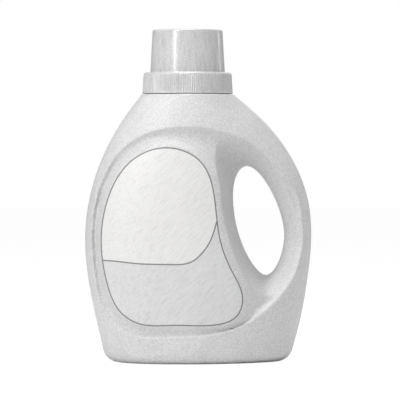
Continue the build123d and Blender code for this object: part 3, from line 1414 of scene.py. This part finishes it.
@dataclass(frozen=True)
class Studio:
    """Pale floor, soft light and the camera."""

    centre: Vector
    distance: float = 2.6
    rise: float = 0.05
    framed: float = 0.3384
    top_power: float = 17.0
    strip_power: float = 11.2
    side_power: float = 2.0
    rim_power: float = 1.9
    back_power: float = 3.0
    sky: float = 0.32
    floor_glow: float = 0.95
    floor_seen: Colour = (0.10, 0.10, 0.10)
    floor_reach: float = 6.0

    def lamp(
        self, name: str, turn: float, height: float, distance: float,
        size: Pair, power: float, mirrored: bool = True,
    ) -> None:
        """Adds a soft rectangular light that faces the object.

        Args:
            name: Name of the light.
            turn: Degrees from the front, to the right.
            height: Degrees above level.
            distance: Distance in metres.
            size: Width and height in metres.
            power: Power in watts.
            mirrored: Whether glossy surfaces reflect its shape.
        """
        light = bpy.data.lights.new(name, "AREA")
        light.shape = "RECTANGLE"
        light.size, light.size_y = size
        light.energy = power
        thing = bpy.data.objects.new(name, light)
        bpy.context.scene.collection.objects.link(thing)
        a, e = math.radians(turn), math.radians(height)
        way = Vector((math.sin(a) * math.cos(e), -math.cos(a) * math.cos(e), math.sin(e)))
        thing.location = self.centre + way * distance
        thing.rotation_euler = (-way).to_track_quat("-Z", "Y").to_euler()
        thing.visible_glossy = mirrored

    def floor_material(self) -> bpy.types.Material:
        """Matt pale floor. The camera sees it glow, while other rays meet its real tone.

        Returns:
            The material.
        """
        material = bpy.data.materials.new("studio_floor")
        material.use_nodes = True
        w = Wiring(material.node_tree)
        shader = material.node_tree.nodes["Principled BSDF"]
        shader.inputs["Roughness"].default_value = 0.9
        shader.inputs["Specular IOR Level"].default_value = 0.0
        shader.inputs["Emission Strength"].default_value = self.floor_glow
        seen = w.node("ShaderNodeLightPath").outputs["Is Camera Ray"]
        w.join(seen, shader.inputs["Emission Color"])
        stipple = w.node("ShaderNodeGroup", node_tree=bpy.data.node_groups["stipple"])
        stipple.inputs["Size"].default_value = 4.0
        lit = w.mix(stipple.outputs["Speckle"], (0.93, 0.93, 0.93), (0.90, 0.90, 0.90))
        w.join(w.mix(seen, lit, self.floor_seen), shader.inputs["Base Color"])
        return material

    def build(self) -> None:
        """Adds floor, world, lights and camera."""
        scene = bpy.context.scene
        scene.view_settings.view_transform = "Standard"
        scene.view_settings.look = "None"
        world = bpy.data.worlds.new("studio_sky")
        world.use_nodes = True
        w = Wiring(world.node_tree)
        backing = world.node_tree.nodes["Background"]
        backing.inputs["Color"].default_value = (1.0, 1.0, 1.0, 1.0)
        seen = w.node("ShaderNodeLightPath").outputs["Is Camera Ray"]
        w.join(w.maths("MAXIMUM", seen, self.sky), backing.inputs["Strength"])
        scene.world = world
        reach = self.floor_reach / MM
        corners = [(-reach, -reach, 0.0), (reach, -reach, 0.0), (reach, reach, 0.0), (-reach, reach, 0.0)]
        floor = mesh_object("studio_floor", corners, [[0, 1, 2, 3]])
        floor.data.materials.append(self.floor_material())
        # Name, turn from the front, height, distance, size, power.
        self.lamp("top_light", 0.0, 82.0, 1.5, (1.0, 1.0), self.top_power)
        self.lamp("strip_light", -41.0, 32.0, 1.4, (0.09, 1.2), self.strip_power)
        self.lamp("side_light", 75.0, 15.0, 1.6, (0.6, 1.2), self.side_power, mirrored=False)
        self.lamp("rim_light", 122.0, 12.0, 1.5, (0.14, 1.2), self.rim_power)
        self.lamp("back_light", 170.0, 25.0, 2.0, (1.2, 1.2), self.back_power)
        camera = bpy.data.objects.new("camera", bpy.data.cameras.new("camera"))
        camera.data.sensor_width = 36.0
        camera.data.lens = camera.data.sensor_width * self.distance / self.framed
        camera.location = self.centre + Vector((0.0, -self.distance, self.rise))
        camera.rotation_euler = (self.centre - camera.location).to_track_quat("-Z", "Y").to_euler()
        scene.collection.objects.link(camera)
        scene.camera = camera


# ---- assembly ---------------------------------------------------------------------

BODY = Finish(
    "blown_body_finish", (0.66, 0.66, 0.66), (0.42, 0.415, 0.415), 0.40,
    speckle=0.52, speckle_size=1.3, drift=0.12, relief=0.12,
    strokes=0.10, stroke_spacing=2.2, grain=Grain.SLANTED, seam_and_highlight=0.5,
)
CAP = Finish(
    "moulded_cap_finish", (0.62, 0.62, 0.62), (0.34, 0.335, 0.34), 0.27,
    speckle=0.35, speckle_size=1.3, drift=0.10, relief=0.05,
    strokes=0.35, stroke_spacing=1.0, coat=0.6,
)
SPOUT = Finish("moulded_spout_finish", (0.80, 0.80, 0.80), (0.68, 0.68, 0.68), 0.38, speckle=0.2, drift=0.2)
SEAL = Finish(
    "foam_ring_finish", (0.80, 0.80, 0.79), (0.60, 0.60, 0.59), 0.85,
    speckle=0.8, speckle_size=0.6, relief=0.6,
)
LABEL = LabelFinish(
    "printed_film_finish", (0.71, 0.705, 0.70), (0.59, 0.585, 0.58), 0.45,
    speckle=0.25, speckle_size=1.5, drift=0.10, relief=0.03,
    strokes=0.60, stroke_spacing=1.2, stroke_stretch=9.0, grain=Grain.SLANTED,
    lower_light=(0.63, 0.63, 0.635), lower_dark=(0.50, 0.50, 0.505),
)


def dress(thing: Object, finish: Finish, body: str, node: str) -> None:
    """Gives a piece its finish and its place in the frame.

    Args:
        thing: The piece.
        finish: Its finish.
        body: CAD body that it rides on.
        node: CAD node that it stands for.
    """
    thing.data.materials.clear()
    material = bpy.data.materials.get(finish.name) or finish.material()
    thing.data.materials.append(material)
    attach(thing, body)
    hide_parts(node)
    log.info("%s: %d faces", thing.name, len(thing.data.polygons))


def main() -> None:
    """Builds every piece in order, then the studio, and reports what was made."""
    logging.basicConfig(level=logging.INFO, format="%(name)s: %(message)s")
    stipple_group()
    stroke_group()
    layout = Layout.read()
    thread = Thread()
    body = BottleBody(layout, thread, step=BottleBody.step)
    dress(body.build(), BODY, "bottle", "bottle")
    dress(Label(body, front=True).build(), LABEL, "bottle", "front_label")
    dress(Label(body, front=False).build(), LABEL, "bottle", "back_label")
    dress(PourSpout(layout).build(), SPOUT, "bottle", "pour_spout")
    dress(CapSeal(layout).build(), SEAL, "cap_seal", "cap_seal")
    dress(MeasuringCap(layout, thread).build(), CAP, "cap", "dosing_cap")
    Studio(Vector((0.0015, 0.0, 0.1362))).build()


if __name__ == "__main__":
    main()
